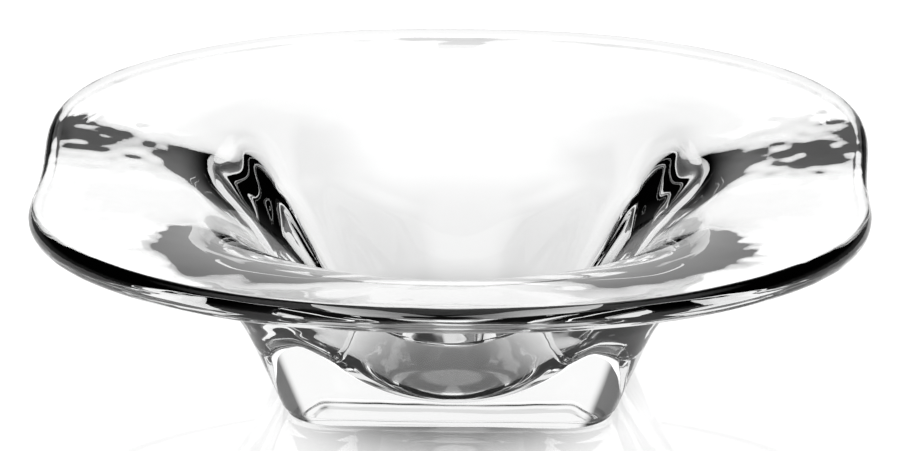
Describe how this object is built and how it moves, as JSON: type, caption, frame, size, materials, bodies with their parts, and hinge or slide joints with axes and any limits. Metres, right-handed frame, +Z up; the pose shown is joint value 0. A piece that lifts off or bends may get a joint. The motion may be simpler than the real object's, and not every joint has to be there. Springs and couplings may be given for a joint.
{
  "type": "footed glass centrepiece bowl",
  "caption": "Heavy clear glass centrepiece bowl with a broad turned-out rounded brim of softly squared plan, on a solid square glass foot that leans outward.",
  "frame": {"origin": "middle of the foot's flat base, on the table", "axes": "+Z up along the bowl's axis, +X to the viewer's right and +Y away from the viewer, both square to the sides of the foot"},
  "size_m": [0.279, 0.2876, 0.0749],
  "materials": {
    "clear_glass": "fire-polished, clear and colourless"
  },
  "bodies": {
    "root": {"bowl": "clear_glass", "foot": "clear_glass"}
  },
  "joints": []
}
